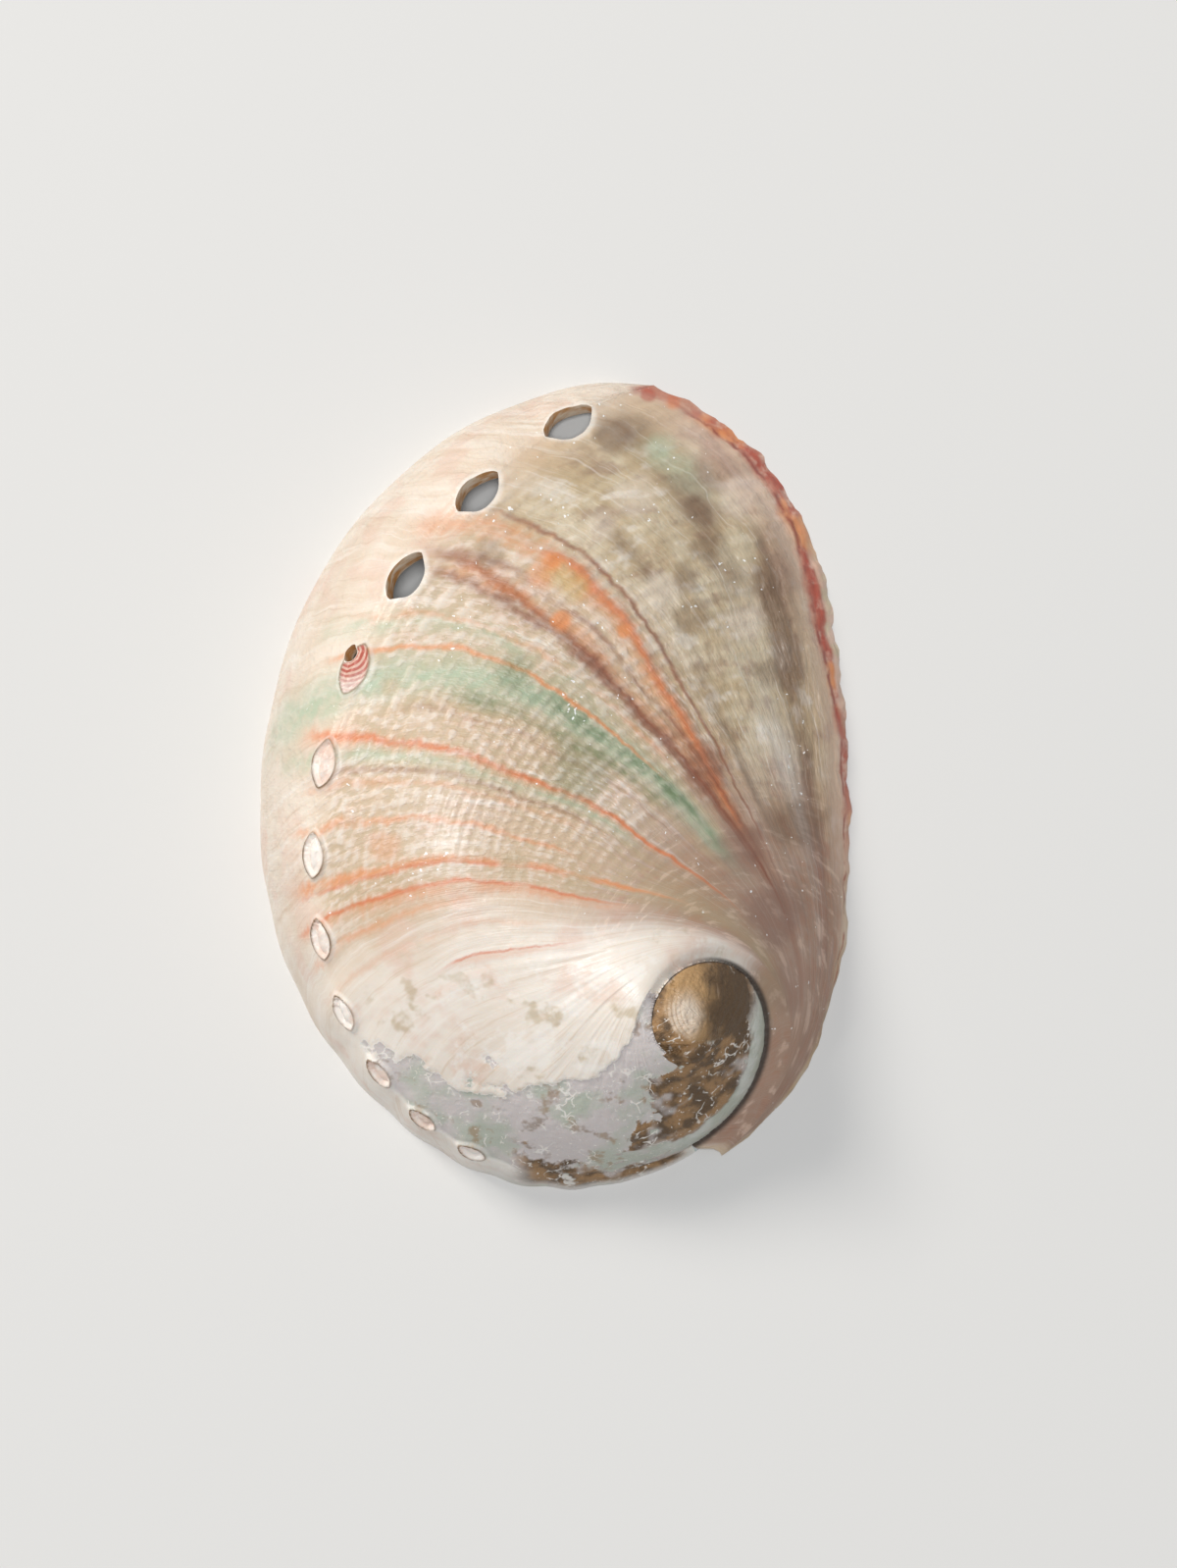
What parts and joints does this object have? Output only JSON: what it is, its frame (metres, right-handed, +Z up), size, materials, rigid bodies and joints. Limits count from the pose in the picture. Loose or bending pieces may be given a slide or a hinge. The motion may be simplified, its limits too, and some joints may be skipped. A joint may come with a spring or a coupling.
{
  "type": "abalone shell",
  "caption": "Polished abalone shell: shallow spiral bowl with a row of breathing holes, lying mouth down on its rim.",
  "frame": {"origin": "middle of the shell's plan outline, on the plane that its rim rests on", "axes": "+Z up through the back of the dome, +Y along the length towards the newest breathing hole, +X towards the wide outer lip"},
  "size_m": [0.074, 0.101, 0.0231],
  "materials": {
    "shell": "polished outside, cream with pink, green and orange growth bands; pearly nacre inside"
  },
  "bodies": {
    "root": {"shell": "shell"}
  },
  "joints": []
}
